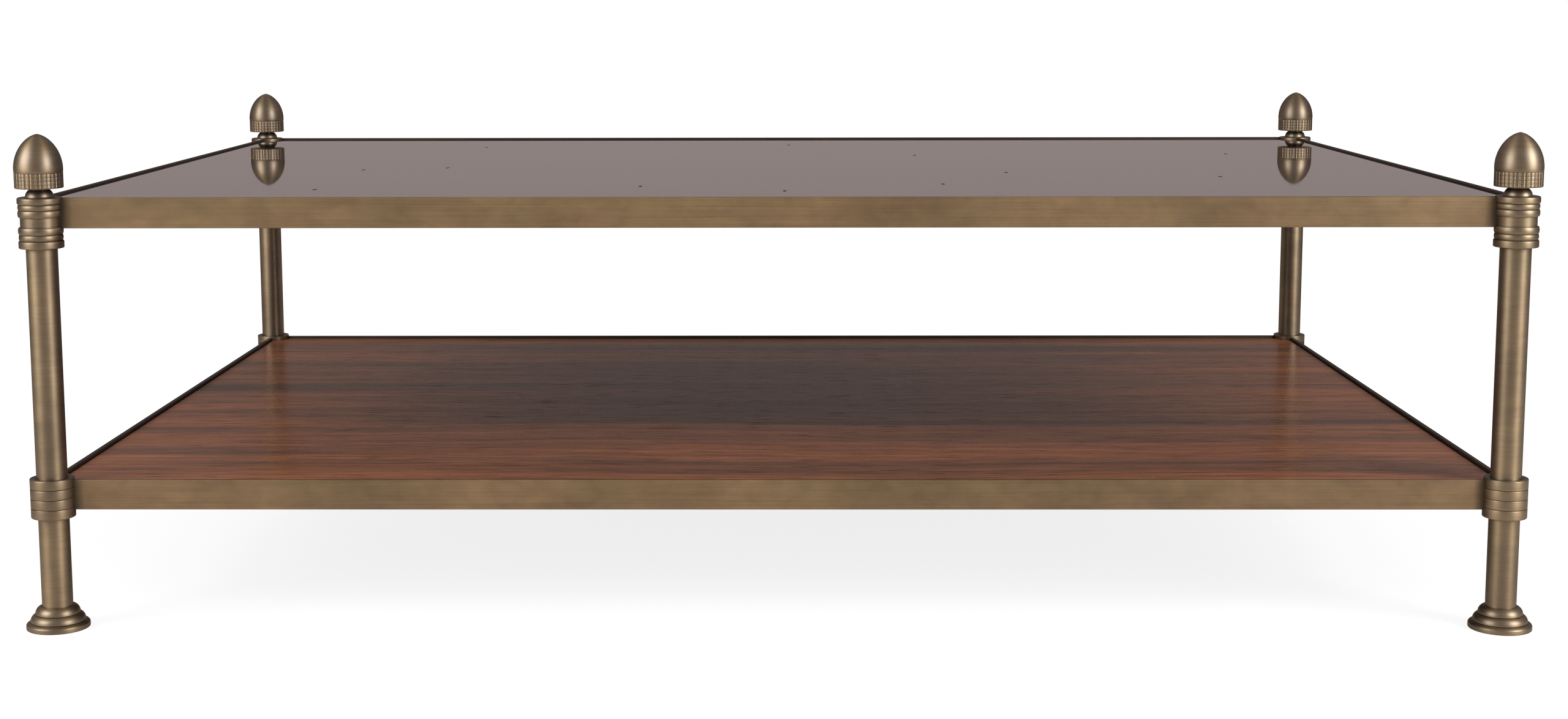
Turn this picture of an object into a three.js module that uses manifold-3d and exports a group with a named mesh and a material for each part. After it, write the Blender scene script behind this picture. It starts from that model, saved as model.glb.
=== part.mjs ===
// Two-tier brass coffee table: four turned legs with acorn finials, a bronze mirror top and a
// veneered lower shelf, both lying in frames of brass angle.
//
// Millimetres, +Z up. The origin is on the floor, midway between the four legs. The length runs
// along X, the front is at -Y.

import * as THREE from "three";
import { mergeVertices } from "three/addons/utils/BufferGeometryUtils.js";
import Module from "manifold-3d";

const wasm = await Module();
wasm.setup();

// Footprint: distances from leg axis to leg axis.
const LEG_SPACING_X = 1200;
const LEG_SPACING_Y = 800;

// Leg tubes and the rod that clamps the leg together.
const TUBE_RADIUS = 12.5;
const TUBE_WALL = 1.5;
const LOWER_TUBE_EXPOSED = 75.1;
const MIDDLE_TUBE_EXPOSED = 191;
const SOCKET_DEPTH = 8;
const ROD_RADIUS = 4;

// Clearances.
const FIT_GAP = 0.3; // round a piece held in another one
const SEAT_GAP = 0.3; // under a panel that lifts out
const TURN_GAP = 0.2; // under a finial that unscrews
const CORNER_GAP = 0.4; // between a panel's cut corner and the leg that stands in it

// Foot: three steps, each standing out past the one above it.
const FOOT_TOP_STEP_HEIGHT = 6.8;
const FOOT_TOP_STEP_OUT = 5.7;
const FOOT_MIDDLE_STEP_HEIGHT = 6.1;
const FOOT_MIDDLE_STEP_OUT = 4.1;
const FOOT_BASE_HEIGHT = 6.2;
const FOOT_BASE_OUT = 3.4;
const FOOT_BASE_CORNER = 3.2; // height of the rounded upper corner
const FOOT_EDGE = 0.5; // how far each step draws in at its lower edge
const STEP_FULLNESS = 1.7; // 1 is a straight slope, 2 a full quarter round
const PAD_RADIUS = 17;
const PAD_THICKNESS = 2;
const PAD_PROUD = 0.3;

// Rails: equal angle with the upright leg centred on the leg axes and the ledge at the bottom.
const RAIL_HEIGHT = 25;
const RAIL_WIDTH = 25;
const RAIL_WALL = 4;
const TONGUE_LENGTH = 8;
const TONGUE_MARGIN = 2.5; // solid collar left above and below a tongue

// Collars.
const COLLAR_WALL = 5.4;
const LOWER_COLLAR_ABOVE_RAIL = 1.8;
const LOWER_COLLAR_BELOW_RAIL = 6.2;
const LOWER_COLLAR_BANDS = 4;
const BAND_GROOVE_DEPTH = 0.7;
const BAND_GROOVE_WIDTH = 1.4;
const COLLAR_EDGE = 0.8;
const UPPER_COLLAR_ABOVE_RAIL = 0.4;
const UPPER_COLLAR_BELOW_RAIL = 16.1;
const FLANGE_HEIGHT = 5.4;
const RIB_HEIGHT = 4.6;
const RIB_ROUND = 1.3;
const RIB_SET_IN = 0.4;
const RIB_GROOVE_DEPTH = 1.2;
const PLAIN_BAND_SET_IN = 1.8;

// Finial.
const NECK_HEIGHT = 7.3;
const NECK_BALL_RADIUS = 11.2;
const NECK_BALL_HEIGHT = 6.1;
const NECK_BALL_MIDDLE = 1.6; // height of the ball's widest circle
const NECK_FLARE = 0.4; // how far the ball's foot spreads past its widest circle
const NECK_WAIST_RADIUS = 8.2;
const NECK_FULLNESS = 1.7;
const ACORN_RADIUS = 19.4;
const CUP_SET_IN = 0.15;
const CUP_HEIGHT = 12.5;
const CUP_FLUTES = 28;
const CUP_FLUTE_DEPTH = 0.7;
const CUP_FLUTE_SHARE = 0.3; // part of the flute pitch taken by the flute itself
const DOME_HEIGHT = 31.5;
const DOME_EDGE = 0.4;
const DOME_WIDEST = 3; // height of the dome's widest circle above its seam
const DOME_SHOULDER_PULL = 15; // the two pulls shape the curve from widest circle to tip
const DOME_TIP_PULL = 10;
const DOME_TIP_DROP = 3;
const ROD_IN_DOME = 9;

// Panels.
const SHELF_THICKNESS = 18;
const BACKING_THICKNESS = 15;
const MIRROR_THICKNESS = 4;
const PANEL_GAP = 1; // between a panel's edge and the rails

// Fineness of the turned pieces.
const TURNED_SIDES = 16;
const ROUND_STEPS = 3;
const HOLE_STEPS = 6;
const DOME_STEPS = 7;
const NOTCH_STEPS = 3;

// Radii and heights that follow from the sizes above.
const footTopRadius = TUBE_RADIUS + FOOT_TOP_STEP_OUT;
const footMiddleRadius = footTopRadius + FOOT_MIDDLE_STEP_OUT;
const footBaseRadius = footMiddleRadius + FOOT_BASE_OUT;
const collarRadius = TUBE_RADIUS + COLLAR_WALL;
const socketRadius = TUBE_RADIUS + FIT_GAP;
const rodHoleRadius = ROD_RADIUS + FIT_GAP;
const copeRadius = collarRadius + FIT_GAP;
const footTop = PAD_PROUD + FOOT_BASE_HEIGHT + FOOT_MIDDLE_STEP_HEIGHT + FOOT_TOP_STEP_HEIGHT;
const lowerCollarHeight = RAIL_HEIGHT + LOWER_COLLAR_ABOVE_RAIL + LOWER_COLLAR_BELOW_RAIL;
const upperCollarHeight = RAIL_HEIGHT + UPPER_COLLAR_ABOVE_RAIL + UPPER_COLLAR_BELOW_RAIL;
const lowerCollarBottom = footTop + LOWER_TUBE_EXPOSED;
const lowerCollarTop = lowerCollarBottom + lowerCollarHeight;
const upperCollarBottom = lowerCollarTop + MIDDLE_TUBE_EXPOSED;
const upperCollarTop = upperCollarBottom + upperCollarHeight;
const lowerRailBottom = lowerCollarBottom + LOWER_COLLAR_BELOW_RAIL;
const upperRailBottom = upperCollarBottom + UPPER_COLLAR_BELOW_RAIL;
const cupBottom = upperCollarTop + NECK_HEIGHT + TURN_GAP;
const domeBottom = cupBottom + CUP_HEIGHT;
const padTop = PAD_THICKNESS;
const rodBottom = padTop + FIT_GAP + ROD_RADIUS;
const rodTop = domeBottom + ROD_IN_DOME;
const tongueHeight = lowerCollarHeight - 2 * SOCKET_DEPTH - 2 * TONGUE_MARGIN;
const tongueMiddle = (RAIL_HEIGHT + LOWER_COLLAR_ABOVE_RAIL - LOWER_COLLAR_BELOW_RAIL) / 2;
const panelInset = RAIL_WALL / 2 + PANEL_GAP;

// Finishes.
function finish(color, roughness, metalness) {
  return new THREE.MeshStandardMaterial({ color, roughness, metalness });
}
const brass = finish(0x86704f, 0.42, 1);
const steel = finish(0x8d8f92, 0.4, 1);
const veneer = finish(0x7c5143, 0.18, 0);
const mirror = finish(0x86797a, 0.03, 1);
const board = finish(0x9a7f5e, 0.85, 0);
const plastic = finish(0x24211e, 0.6, 0);

// Solids for cutting and joining.

function toSolid(geometry) {
  const bare = geometry.clone();
  bare.deleteAttribute("normal");
  bare.deleteAttribute("uv");
  const merged = mergeVertices(bare);
  const vertProperties = new Float32Array(merged.attributes.position.array);
  const triVerts = new Uint32Array(merged.index.array);
  return new wasm.Manifold(new wasm.Mesh({ numProp: 3, vertProperties, triVerts }));
}

function toGeometry(solid) {
  const { vertProperties, triVerts } = solid.getMesh();
  const geometry = new THREE.BufferGeometry();
  geometry.setAttribute("position", new THREE.BufferAttribute(vertProperties, 3));
  geometry.setIndex(new THREE.BufferAttribute(triVerts, 1));
  geometry.computeVertexNormals();
  return geometry;
}

// A box given by its lowest and highest corners.
function boxBetween(low, high) {
  const size = high.map((value, i) => value - low[i]);
  const middle = high.map((value, i) => (value + low[i]) / 2);
  return new THREE.BoxGeometry(...size).translate(...middle);
}

// Turned pieces: a profile of [radius, height] points, from the bottom up its outside.

function turn(profile) {
  const points = profile.map(([radius, height]) => new THREE.Vector2(radius, height));
  return new THREE.LatheGeometry(points, TURNED_SIDES).rotateX(Math.PI / 2);
}

// A turned ring: the outside profile, then the inside one back down to where it started.
function turnRing(outside, inside) {
  return turn([...outside, ...inside, outside[0]]);
}

// A rounded shoulder that rises from a wide circle to a narrow one. The fullness sets how far it
// bulges: 1 is a straight slope, 2 a quarter of an ellipse.
function shoulder(wideRadius, low, narrowRadius, high, fullness) {
  const points = [];
  for (let step = 0; step <= ROUND_STEPS; step += 1) {
    const angle = (step / ROUND_STEPS) * (Math.PI / 2);
    const out = Math.max(0, Math.cos(angle)) ** (2 / fullness);
    const up = Math.sin(angle) ** (2 / fullness);
    points.push([narrowRadius + (wideRadius - narrowRadius) * out, low + (high - low) * up]);
  }
  return points;
}

function makeTube(length) {
  const inner = TUBE_RADIUS - TUBE_WALL;
  return turnRing([[inner, 0], [TUBE_RADIUS, 0], [TUBE_RADIUS, length]], [[inner, length]]);
}

// One step of the foot: drawn in at its lower edge, then a rounded shoulder up to the next step.
function footStep(radius, bottom, height, upperRadius) {
  return [
    [radius - FOOT_EDGE, bottom],
    ...shoulder(radius, bottom + FOOT_EDGE, upperRadius, bottom + height, STEP_FULLNESS),
  ];
}

function makeFoot() {
  const bottom = PAD_PROUD;
  const middleStep = bottom + FOOT_BASE_HEIGHT;
  const topStep = middleStep + FOOT_MIDDLE_STEP_HEIGHT;
  const recessRadius = PAD_RADIUS + FIT_GAP;
  const cornerBottom = middleStep - FOOT_BASE_CORNER;
  const outside = [
    [recessRadius, bottom],
    [footBaseRadius - FOOT_EDGE, bottom],
    [footBaseRadius, bottom + FOOT_EDGE],
    ...shoulder(footBaseRadius, cornerBottom, footMiddleRadius, middleStep, STEP_FULLNESS),
    ...footStep(footMiddleRadius, middleStep, FOOT_MIDDLE_STEP_HEIGHT, footTopRadius),
    ...footStep(footTopRadius, topStep, FOOT_TOP_STEP_HEIGHT, socketRadius),
  ];
  const inside = [
    [socketRadius, footTop - SOCKET_DEPTH],
    [rodHoleRadius, footTop - SOCKET_DEPTH],
    [rodHoleRadius, padTop],
    [recessRadius, padTop],
  ];
  return turnRing(outside, inside);
}

function makePad() {
  return new THREE.CylinderGeometry(PAD_RADIUS, PAD_RADIUS, PAD_THICKNESS, TURNED_SIDES)
    .rotateX(Math.PI / 2)
    .translate(0, 0, PAD_THICKNESS / 2);
}

function makeTieRod() {
  const length = rodTop - rodBottom;
  return new THREE.CylinderGeometry(ROD_RADIUS, ROD_RADIUS, length, 2 * HOLE_STEPS)
    .rotateX(Math.PI / 2)
    .translate(0, 0, (rodTop + rodBottom) / 2);
}

// Pockets for the tongues of the two rails that meet at a collar, one towards +X, one towards +Y.
function cutTonguePockets(geometry, railBottom) {
  const inner = copeRadius - TONGUE_LENGTH - FIT_GAP;
  const outer = copeRadius + FIT_GAP;
  const half = RAIL_WALL / 2 + FIT_GAP;
  const low = railBottom + tongueMiddle - tongueHeight / 2 - FIT_GAP;
  const high = railBottom + tongueMiddle + tongueHeight / 2 + FIT_GAP;
  const alongX = toSolid(boxBetween([inner, -half, low], [outer, half, high]));
  const alongY = toSolid(boxBetween([-half, inner, low], [half, outer, high]));
  return toGeometry(toSolid(geometry).subtract(alongX).subtract(alongY));
}

// Four equal bands parted by fine grooves, with a socket for a tube at each end.
function makeLowerCollar() {
  const bandHeight = lowerCollarHeight / LOWER_COLLAR_BANDS;
  const outside = [
    [socketRadius, 0],
    [collarRadius - COLLAR_EDGE, 0],
    [collarRadius, COLLAR_EDGE],
  ];
  for (let band = 1; band < LOWER_COLLAR_BANDS; band += 1) {
    const groove = band * bandHeight;
    outside.push([collarRadius, groove - BAND_GROOVE_WIDTH / 2]);
    outside.push([collarRadius - BAND_GROOVE_DEPTH, groove]);
    outside.push([collarRadius, groove + BAND_GROOVE_WIDTH / 2]);
  }
  outside.push([collarRadius, lowerCollarHeight - COLLAR_EDGE]);
  outside.push([collarRadius - COLLAR_EDGE, lowerCollarHeight]);
  const inside = [
    [socketRadius, lowerCollarHeight],
    [socketRadius, lowerCollarHeight - SOCKET_DEPTH],
    [rodHoleRadius, lowerCollarHeight - SOCKET_DEPTH],
    [rodHoleRadius, SOCKET_DEPTH],
    [socketRadius, SOCKET_DEPTH],
  ];
  return cutTonguePockets(turnRing(outside, inside), LOWER_COLLAR_BELOW_RAIL);
}

// A rounded rib between two grooves, as its lower and upper corner.
function rib(bottom) {
  const radius = collarRadius - RIB_SET_IN;
  return [
    [radius, bottom + RIB_ROUND],
    [radius, bottom + RIB_HEIGHT - RIB_ROUND],
  ];
}

// Flange, groove and two ribs at each end, and a plain band between the two groups.
function makeUpperCollar() {
  const grooveRadius = collarRadius - RIB_GROOVE_DEPTH;
  const plainRadius = collarRadius - PLAIN_BAND_SET_IN;
  const top = upperCollarHeight;
  const ribsHeight = FLANGE_HEIGHT + 2 * RIB_HEIGHT;
  const outside = [
    [socketRadius, 0],
    [collarRadius - COLLAR_EDGE, 0],
    [collarRadius, COLLAR_EDGE],
    [collarRadius, FLANGE_HEIGHT - RIB_ROUND],
    [grooveRadius, FLANGE_HEIGHT],
    ...rib(FLANGE_HEIGHT),
    [grooveRadius, FLANGE_HEIGHT + RIB_HEIGHT],
    ...rib(FLANGE_HEIGHT + RIB_HEIGHT),
    [plainRadius, ribsHeight],
    [plainRadius, top - ribsHeight],
    ...rib(top - ribsHeight),
    [grooveRadius, top - ribsHeight + RIB_HEIGHT],
    ...rib(top - ribsHeight + RIB_HEIGHT),
    [grooveRadius, top - FLANGE_HEIGHT],
    [collarRadius, top - FLANGE_HEIGHT + RIB_ROUND],
    [collarRadius, top - COLLAR_EDGE],
    [collarRadius - COLLAR_EDGE, top],
  ];
  const inside = [
    [rodHoleRadius, top],
    [rodHoleRadius, SOCKET_DEPTH],
    [socketRadius, SOCKET_DEPTH],
  ];
  return cutTonguePockets(turnRing(outside, inside), UPPER_COLLAR_BELOW_RAIL);
}

// Squashed ball with a narrow waist under the acorn.
function makeNeck() {
  const outside = [
    [rodHoleRadius, 0],
    [NECK_BALL_RADIUS + NECK_FLARE, 0],
    [NECK_BALL_RADIUS, NECK_BALL_MIDDLE / 2],
    ...shoulder(NECK_BALL_RADIUS, NECK_BALL_MIDDLE, NECK_WAIST_RADIUS, NECK_BALL_HEIGHT, NECK_FULLNESS),
    [NECK_WAIST_RADIUS, NECK_HEIGHT],
  ];
  return turnRing(outside, [[rodHoleRadius, NECK_HEIGHT]]);
}

// Ring with upright flutes all round: the grip of the finial.
function makeCup() {
  const radius = ACORN_RADIUS - CUP_SET_IN;
  const pitch = (2 * Math.PI) / CUP_FLUTES;
  const points = [];
  for (let flute = 0; flute < CUP_FLUTES; flute += 1) {
    const start = flute * pitch;
    const end = start + pitch * (1 - CUP_FLUTE_SHARE);
    const valley = start + pitch * (1 - CUP_FLUTE_SHARE / 2);
    for (const [distance, angle] of [[radius, start], [radius, end], [radius - CUP_FLUTE_DEPTH, valley]]) {
      points.push(new THREE.Vector2(distance * Math.cos(angle), distance * Math.sin(angle)));
    }
  }
  const outline = new THREE.Shape(points);
  const hole = new THREE.Path();
  hole.absarc(0, 0, rodHoleRadius, 0, 2 * Math.PI, true);
  outline.holes.push(hole);
  const options = { depth: CUP_HEIGHT, bevelEnabled: false, curveSegments: HOLE_STEPS };
  return new THREE.ExtrudeGeometry(outline, options);
}

// Smooth dome that comes to a soft point, with a blind hole for the rod.
function makeAcorn() {
  const curve = new THREE.CubicBezierCurve(
    new THREE.Vector2(ACORN_RADIUS, DOME_WIDEST),
    new THREE.Vector2(ACORN_RADIUS, DOME_WIDEST + DOME_SHOULDER_PULL),
    new THREE.Vector2(DOME_TIP_PULL, DOME_HEIGHT - DOME_TIP_DROP),
    new THREE.Vector2(0, DOME_HEIGHT),
  );
  const seamRadius = ACORN_RADIUS - CUP_SET_IN;
  const holeDepth = ROD_IN_DOME + FIT_GAP;
  return turn([
    [0, holeDepth],
    [rodHoleRadius, holeDepth],
    [rodHoleRadius, 0],
    [seamRadius - DOME_EDGE, 0],
    [seamRadius, DOME_EDGE],
    ...curve.getPoints(DOME_STEPS).map((point) => [point.x, point.y]),
  ]);
}

// A straight rail along X. Its ends are coped round the collars, its ledge is mitred at 45 degrees
// to meet the ledges of its neighbours, and a tongue at each end enters the collar.
function makeRail(spacing) {
  const half = spacing / 2;
  const wall = RAIL_WALL / 2;
  const inner = RAIL_WIDTH - wall;
  const miterGap = FIT_GAP / 2;
  const ledge = new THREE.Shape([
    new THREE.Vector2(-half + miterGap, 0),
    new THREE.Vector2(half - miterGap, 0),
    new THREE.Vector2(half - inner - miterGap, inner),
    new THREE.Vector2(-half + inner + miterGap, inner),
  ]);
  const ledgeGeometry = new THREE.ExtrudeGeometry(ledge, { depth: RAIL_WALL, bevelEnabled: false });
  const upright = boxBetween([-half, -wall, 0], [half, wall, RAIL_HEIGHT]);
  let rail = toSolid(upright).add(toSolid(ledgeGeometry));
  for (const side of [-1, 1]) {
    const cope = new THREE.CylinderGeometry(copeRadius, copeRadius, 3 * RAIL_HEIGHT, 2 * TURNED_SIDES)
      .rotateX(Math.PI / 2)
      .translate(side * half, 0, RAIL_HEIGHT / 2);
    rail = rail.subtract(toSolid(cope));
  }
  const reach = half - copeRadius;
  for (const side of [-1, 1]) {
    const ends = [side * (reach - copeRadius), side * (reach + TONGUE_LENGTH)].sort((a, b) => a - b);
    const low = tongueMiddle - tongueHeight / 2;
    const tongue = boxBetween([ends[0], -wall, low], [ends[1], wall, low + tongueHeight]);
    rail = rail.add(toSolid(tongue));
  }
  return toGeometry(rail);
}

// Outline of the shelf board: each corner is cut away in an arc round its collar.
function shelfOutline() {
  const halfX = LEG_SPACING_X / 2;
  const halfY = LEG_SPACING_Y / 2;
  const notchRadius = collarRadius + CORNER_GAP;
  const reach = Math.sqrt(notchRadius ** 2 - panelInset ** 2);
  const from = Math.asin(panelInset / notchRadius);
  const to = Math.PI / 2 - from;
  const outline = new THREE.Shape();
  outline.moveTo(-halfX + panelInset, -halfY + reach);
  outline.absarc(-halfX, -halfY, notchRadius, to, from, true);
  outline.lineTo(halfX - reach, -halfY + panelInset);
  outline.absarc(halfX, -halfY, notchRadius, Math.PI - from, Math.PI - to, true);
  outline.lineTo(halfX - panelInset, halfY - reach);
  outline.absarc(halfX, halfY, notchRadius, Math.PI + to, Math.PI + from, true);
  outline.lineTo(-halfX + reach, halfY - panelInset);
  outline.absarc(-halfX, halfY, notchRadius, 2 * Math.PI - from, 2 * Math.PI - to, true);
  return outline;
}

// Outline of the top: its corners are clipped straight, far enough in to pass the acorns when
// the top is lifted off.
function topOutline() {
  const halfX = LEG_SPACING_X / 2 - panelInset;
  const halfY = LEG_SPACING_Y / 2 - panelInset;
  const clearRadius = Math.max(collarRadius, ACORN_RADIUS) + CORNER_GAP;
  const clip = Math.SQRT2 * clearRadius - 2 * panelInset;
  const outline = new THREE.Shape();
  outline.moveTo(-halfX + clip, -halfY);
  outline.lineTo(halfX - clip, -halfY);
  outline.lineTo(halfX, -halfY + clip);
  outline.lineTo(halfX, halfY - clip);
  outline.lineTo(halfX - clip, halfY);
  outline.lineTo(-halfX + clip, halfY);
  outline.lineTo(-halfX, halfY - clip);
  outline.lineTo(-halfX, -halfY + clip);
  return outline;
}

function makePanel(outline, thickness) {
  const options = { depth: thickness, bevelEnabled: false, curveSegments: NOTCH_STEPS };
  return new THREE.ExtrudeGeometry(outline, options);
}

// Assembly.

const table = new THREE.Group();

function place(parent, name, geometry, material, height = 0) {
  const mesh = new THREE.Mesh(geometry, material);
  mesh.name = name;
  mesh.position.z = height;
  parent.add(mesh);
}

const leg = {
  foot_pad: [makePad(), plastic, 0],
  foot: [makeFoot(), brass, 0],
  tie_rod: [makeTieRod(), steel, 0],
  lower_tube: [makeTube(LOWER_TUBE_EXPOSED + 2 * SOCKET_DEPTH), brass, footTop - SOCKET_DEPTH],
  lower_collar: [makeLowerCollar(), brass, lowerCollarBottom],
  middle_tube: [makeTube(MIDDLE_TUBE_EXPOSED + 2 * SOCKET_DEPTH), brass, lowerCollarTop - SOCKET_DEPTH],
  upper_collar: [makeUpperCollar(), brass, upperCollarBottom],
  neck: [makeNeck(), brass, upperCollarTop],
  acorn_cup: [makeCup(), brass, cupBottom],
  acorn: [makeAcorn(), brass, domeBottom],
};

// The legs in turn round the table, each turned so that its tongue pockets face its neighbours.
const corners = [
  ["front_left", -1, -1],
  ["front_right", 1, -1],
  ["back_right", 1, 1],
  ["back_left", -1, 1],
];
corners.forEach(([corner, sideX, sideY], index) => {
  const group = new THREE.Group();
  group.position.set((sideX * LEG_SPACING_X) / 2, (sideY * LEG_SPACING_Y) / 2, 0);
  group.rotation.z = (index * Math.PI) / 2;
  for (const [piece, [geometry, material, height]] of Object.entries(leg)) {
    place(group, `${corner}_${piece}`, geometry, material, height);
  }
  table.add(group);
});

const longRail = makeRail(LEG_SPACING_X);
const shortRail = makeRail(LEG_SPACING_Y);
const rails = [
  ["front", longRail, 0, -LEG_SPACING_Y / 2, 0],
  ["right", shortRail, LEG_SPACING_X / 2, 0, 1],
  ["back", longRail, 0, LEG_SPACING_Y / 2, 2],
  ["left", shortRail, -LEG_SPACING_X / 2, 0, 3],
];
const tiers = [
  ["lower", lowerRailBottom],
  ["upper", upperRailBottom],
];
for (const [tier, bottom] of tiers) {
  for (const [side, geometry, x, y, quarterTurns] of rails) {
    const group = new THREE.Group();
    group.position.set(x, y, bottom);
    group.rotation.z = (quarterTurns * Math.PI) / 2;
    place(group, `${tier}_${side}_rail`, geometry, brass);
    table.add(group);
  }
}

const shelfBottom = lowerRailBottom + RAIL_WALL + SEAT_GAP;
const backingBottom = upperRailBottom + RAIL_WALL + SEAT_GAP;
const mirrorBottom = backingBottom + BACKING_THICKNESS;
place(table, "shelf_board", makePanel(shelfOutline(), SHELF_THICKNESS), veneer, shelfBottom);
place(table, "mirror_backing_board", makePanel(topOutline(), BACKING_THICKNESS), board, backingBottom);
place(table, "mirror_glass", makePanel(topOutline(), MIRROR_THICKNESS), mirror, mirrorBottom);

export default table;
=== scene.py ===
"""Brass coffee table: four turned legs with acorns, a bronze mirror top and a veneered shelf.

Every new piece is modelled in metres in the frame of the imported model: +Z up, the length along X,
the front at -Y, the origin on the floor between the legs.
"""

import math

import bmesh
import bpy
from mathutils import Matrix, Vector


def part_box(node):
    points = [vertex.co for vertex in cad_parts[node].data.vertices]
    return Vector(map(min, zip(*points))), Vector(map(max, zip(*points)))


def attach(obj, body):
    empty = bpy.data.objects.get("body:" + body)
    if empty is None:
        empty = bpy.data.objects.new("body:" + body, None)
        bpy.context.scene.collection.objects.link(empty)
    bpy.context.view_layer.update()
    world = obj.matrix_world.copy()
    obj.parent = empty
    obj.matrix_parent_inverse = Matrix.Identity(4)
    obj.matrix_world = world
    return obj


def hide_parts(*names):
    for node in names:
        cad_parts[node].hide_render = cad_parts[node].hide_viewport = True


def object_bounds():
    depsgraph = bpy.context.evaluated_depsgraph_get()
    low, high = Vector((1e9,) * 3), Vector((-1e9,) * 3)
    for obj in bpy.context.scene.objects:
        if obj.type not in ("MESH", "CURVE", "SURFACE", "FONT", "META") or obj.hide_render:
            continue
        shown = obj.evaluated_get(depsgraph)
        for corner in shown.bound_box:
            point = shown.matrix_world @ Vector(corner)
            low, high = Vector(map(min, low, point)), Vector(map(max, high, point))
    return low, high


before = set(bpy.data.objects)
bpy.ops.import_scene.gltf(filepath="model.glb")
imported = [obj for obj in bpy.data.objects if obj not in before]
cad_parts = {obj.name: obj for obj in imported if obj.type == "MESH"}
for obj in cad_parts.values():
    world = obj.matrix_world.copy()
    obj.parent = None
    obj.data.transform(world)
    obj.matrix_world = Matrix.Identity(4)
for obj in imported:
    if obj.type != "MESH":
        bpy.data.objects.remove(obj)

bl_info = {
    "name": "Brass Coffee Table",
    "version": (1, 0, 0),
    "blender": (4, 5, 0),
    "location": "View3D > Sidebar > Coffee Table",
    "description": "Builds the finished pieces of a two-tier brass coffee table and its studio",
    "category": "Add Mesh",
}

MM = 0.001
CORNERS = ("front_left", "front_right", "back_right", "back_left")
TIERS = ("lower", "upper")
# Quarter turns that bring a rail built along +X to its side of the table.
RAIL_TURNS = {"front": 0, "right": 1, "back": 2, "left": 3}

frame_low, frame_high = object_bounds()


# ---- Settings


def number(name, description, default, **limits):
    return bpy.props.FloatProperty(
        name=name, description=description, default=default, precision=5, **limits
    )


def length(name, description, default):
    return number(name, description, default, min=0.0, unit="LENGTH")


def power(name, description, default):
    return number(name, description, default, min=0.0, unit="POWER")


def rotation(name, description, default):
    return number(name, description, default, unit="ROTATION")


def amount(name, description, default, highest=1.0):
    return number(name, description, default, min=0.0, max=highest)


def count(name, description, default):
    return bpy.props.IntProperty(name=name, description=description, default=default, min=1)


def position(name, description, default):
    return bpy.props.FloatVectorProperty(
        name=name, description=description, default=default, precision=5, subtype="TRANSLATION"
    )


def colour(name, description, default):
    return bpy.props.FloatVectorProperty(
        name=name, description=description, default=default, min=0.0, max=1.0, subtype="COLOR"
    )


class COFFEETABLE_PG_turning(bpy.types.PropertyGroup):
    """Sizes of the turned brass pieces."""

    sides: count("Sides", "Segments round a turned piece", 96)
    arc_steps: count("Arc steps", "Segments in each rounded edge of an outline", 5)
    tube_wall: length("Tube wall", "Wall of the leg tubes", 1.5 * MM)
    socket_depth: length("Socket depth", "How far a tube enters its collar or foot", 8 * MM)
    fit_gap: length("Fit gap", "Clearance round a piece held in another", 0.3 * MM)
    edge: length("Edge", "Rounding of outer edges", 0.8 * MM)
    rib_depth: length("Rib depth", "How deep the grooves between the ribs reach", 1.3 * MM)
    band_edge: length("Band edge", "Rounding of the bands on the lower collar", 0.75 * MM)
    bands: count("Bands", "Equal bands on the lower collar", 4)
    base_height: length("Base height", "Height of the foot's base step", 5.8 * MM)
    base_corner: length("Base corner", "Height of the base step's rounded shoulder", 2.6 * MM)
    middle_height: length("Middle height", "Height of the foot's middle step", 6.4 * MM)
    middle_in: length("Middle set in", "How far the middle step is set in from the base", 3.4 * MM)
    top_in: length("Top set in", "How far the top step is set in from the middle step", 4.1 * MM)
    undercut: length("Undercut", "How far each step draws in at its lower edge", 0.6 * MM)
    step_fullness: amount("Step fullness", "1 is a straight slope, 2 a quarter round", 1.88, 3.0)
    bell: length("Bell", "Radius of the neck's bell above its flared foot", 11.2 * MM)
    waist: length("Waist", "Radius of the neck where it meets the acorn", 8.2 * MM)
    flutes: count("Flutes", "Upright flutes round the acorn cup", 28)
    flute_steps: count("Flute steps", "Segments in each flute", 10)
    flute_depth: length("Flute depth", "Depth of the upright flutes", 0.5 * MM)
    flute_share: amount("Flute share", "Part of the pitch that a flute takes", 0.4)
    cup_rows: count("Cup rows", "Rows that fine grooves cut the cup into", 4)
    row_groove: length("Row groove", "Depth of the fine grooves round the cup", 0.25 * MM)
    dome_widest: length("Dome widest", "Height of the dome's widest circle above its seam", 3 * MM)
    shoulder_pull: length("Shoulder pull", "Fullness of the dome's shoulder", 15 * MM)
    tip_pull: length("Tip pull", "Fullness of the dome near its tip", 9.5 * MM)
    tip_drop: length("Tip drop", "How softly the dome comes to its tip", 1.6 * MM)
    dome_steps: count("Dome steps", "Segments from the dome's widest circle to its tip", 28)


class COFFEETABLE_PG_rails(bpy.types.PropertyGroup):
    """Sizes of the brass angle rails."""

    wall: length("Wall", "Thickness of both legs of the angle", 4 * MM)
    edge: length("Edge", "Rounding of the outer edges", 0.45 * MM)
    edge_steps: count("Edge steps", "Segments in each rounded edge", 3)
    let_in: length("Let in", "How far a rail's end runs into its collar", 2.2 * MM)
    miter_gap: length("Mitre gap", "Half the gap where two ledges meet", 0.15 * MM)
    cuts: count("Cuts", "Strips that let a rail's end follow its collar", 16)


class COFFEETABLE_PG_panels(bpy.types.PropertyGroup):
    """Sizes of the shelf board and the top."""

    corner_gap: length("Corner gap", "Gap between a cut corner and the leg", 0.4 * MM)
    corner_steps: count("Corner steps", "Segments in the shelf's round corners", 16)
    board_edge: length("Board edge", "Softening of the boards' edges", 0.4 * MM)
    glass_edge: length("Glass edge", "Ground arris round the mirror glass", 0.6 * MM)


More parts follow.
